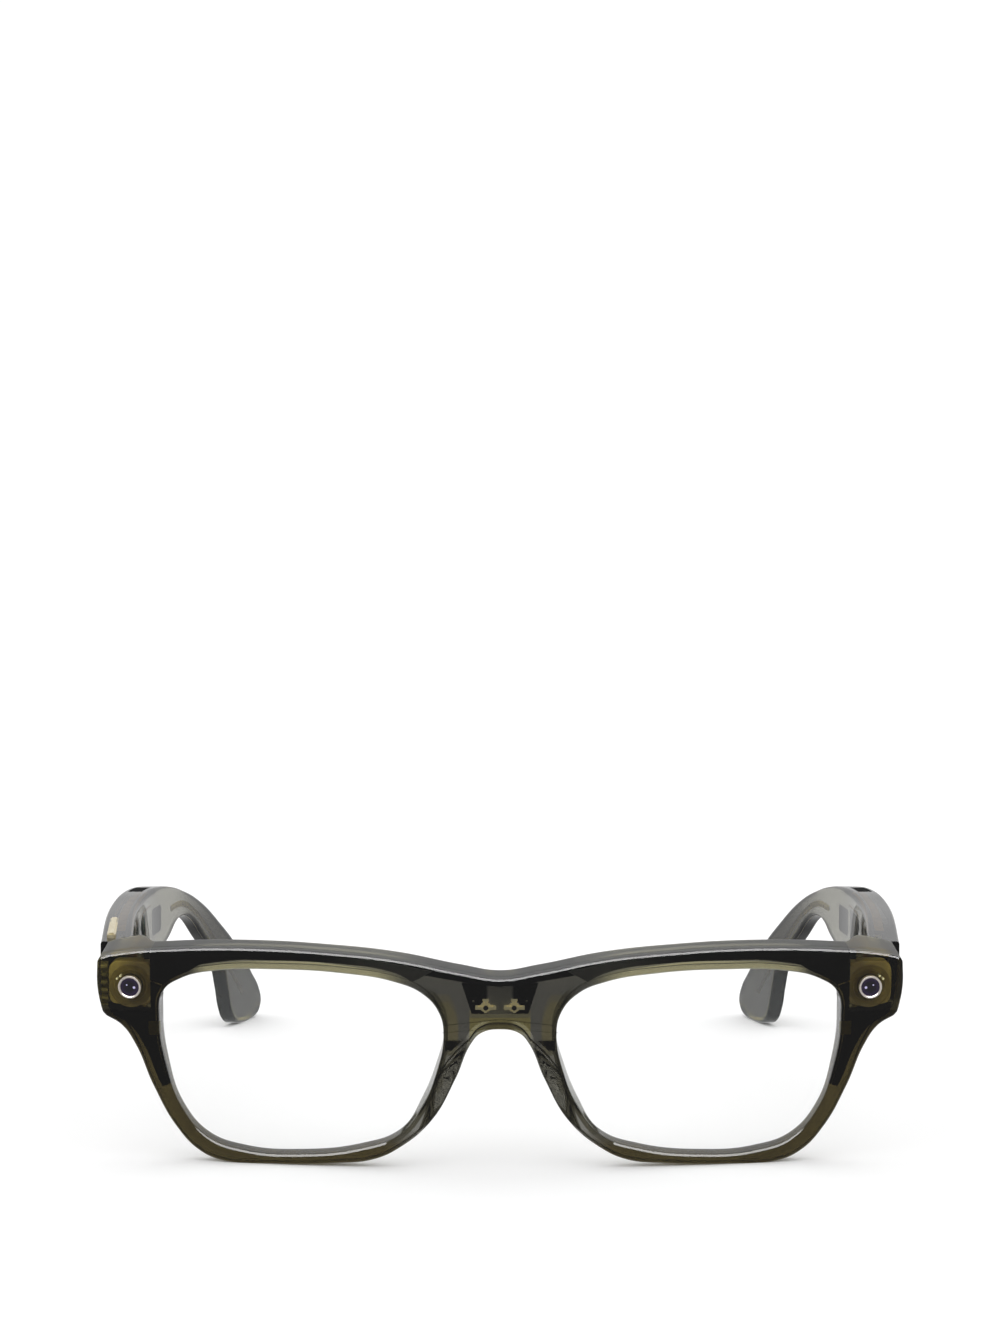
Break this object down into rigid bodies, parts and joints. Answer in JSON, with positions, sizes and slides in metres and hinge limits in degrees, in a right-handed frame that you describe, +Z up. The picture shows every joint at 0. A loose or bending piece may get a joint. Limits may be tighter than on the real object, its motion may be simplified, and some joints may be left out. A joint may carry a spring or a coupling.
{
  "type": "smart glasses",
  "caption": "Resin spectacle frame with clear lenses, ringed camera and light modules in the end pieces, and folding temples that hold electronics.",
  "frame": {"origin": "middle of the bounding box on the table plane that the rims and temple tips stand on", "axes": "+Z up; X across the front with the wearer's right at -X; the front faces -Y and the temples run to +Y"},
  "size_m": [0.16, 0.1614, 0.0407],
  "materials": {
    "smoke_resin": "polished smoky olive resin, translucent",
    "clear_lens": "clear polished lens with an anti-reflection coat",
    "black_plastic": "black moulded plastic",
    "olive_plastic": "olive gold moulded housing seen through the resin",
    "rose_gold": "polished pale rose gold",
    "camera_glass": "dark violet coated glass",
    "pale_light": "pale light guide",
    "brass": "pale gold plated metal",
    "steel": "brushed steel",
    "flex_film": "amber flexible circuit film",
    "board_green": "green circuit board",
    "battery_foil": "aluminium laminate foil"
  },
  "bodies": {
    "front": {"front_shell": "smoke_resin", "rear_shell": "smoke_resin", "right_lens": "clear_lens", "left_lens": "clear_lens", "right_rim_antenna": "black_plastic", "left_rim_antenna": "black_plastic", "brow_carrier": "black_plastic", "brow_flex": "flex_film", "bridge_board": "black_plastic", "right_charging_contact": "brass", "left_charging_contact": "brass", "bridge_microphone": "steel", "right_light_housing": "olive_plastic", "right_light_ring": "rose_gold", "right_light_lens": "camera_glass", "right_light_guide_1": "pale_light", "right_light_guide_2": "pale_light", "left_light_guide_1": "pale_light", "left_light_guide_2": "pale_light", "right_light_emitter": "pale_light", "left_camera_housing": "olive_plastic", "left_camera_ring": "rose_gold", "left_camera_lens": "camera_glass", "left_camera_sensor": "board_green", "left_front_hinge": "brass", "right_front_hinge": "brass", "left_hinge_screw": "steel", "right_hinge_screw": "steel", "left_hinge_flex": "flex_film", "right_hinge_flex": "flex_film"},
    "right_temple": {"right_temple_shell": "smoke_resin", "right_temple_cover": "smoke_resin", "right_temple_hinge": "brass", "right_temple_flex": "flex_film", "right_speaker": "black_plastic", "right_speaker_vent": "black_plastic", "right_tip_core": "brass", "capture_button_dome": "steel", "main_board": "board_green", "board_shield": "steel", "touch_sensor": "flex_film"},
    "left_temple": {"left_temple_shell": "smoke_resin", "left_temple_cover": "smoke_resin", "left_temple_hinge": "brass", "left_temple_flex": "flex_film", "left_speaker": "black_plastic", "left_speaker_vent": "black_plastic", "left_tip_core": "brass", "left_battery": "battery_foil", "power_switch_body": "black_plastic"},
    "capture_button": {"capture_button": "rose_gold"},
    "power_switch": {"power_switch": "black_plastic"}
  },
  "joints": [
    {"name": "right_temple_hinge", "type": "hinge", "parent": "front", "child": "right_temple", "pos_m": [-0.0676, -0.05944, 0.03305], "axis": [0, 0, -1], "range_deg": [0, 90]},
    {"name": "left_temple_hinge", "type": "hinge", "parent": "front", "child": "left_temple", "pos_m": [0.0676, -0.05944, 0.03305], "axis": [0, 0, 1], "range_deg": [0, 82]},
    {"name": "capture_button_press", "type": "slide", "parent": "right_temple", "child": "capture_button", "axis": [0, 0, -1], "range_m": [0, 0.0004], "stiffness_N_per_m": 1500, "springref_m": -0.0002},
    {"name": "power_switch_slide", "type": "slide", "parent": "left_temple", "child": "power_switch", "axis": [0.1178, 0.993, 0], "range_m": [0, 0.0016]}
  ]
}
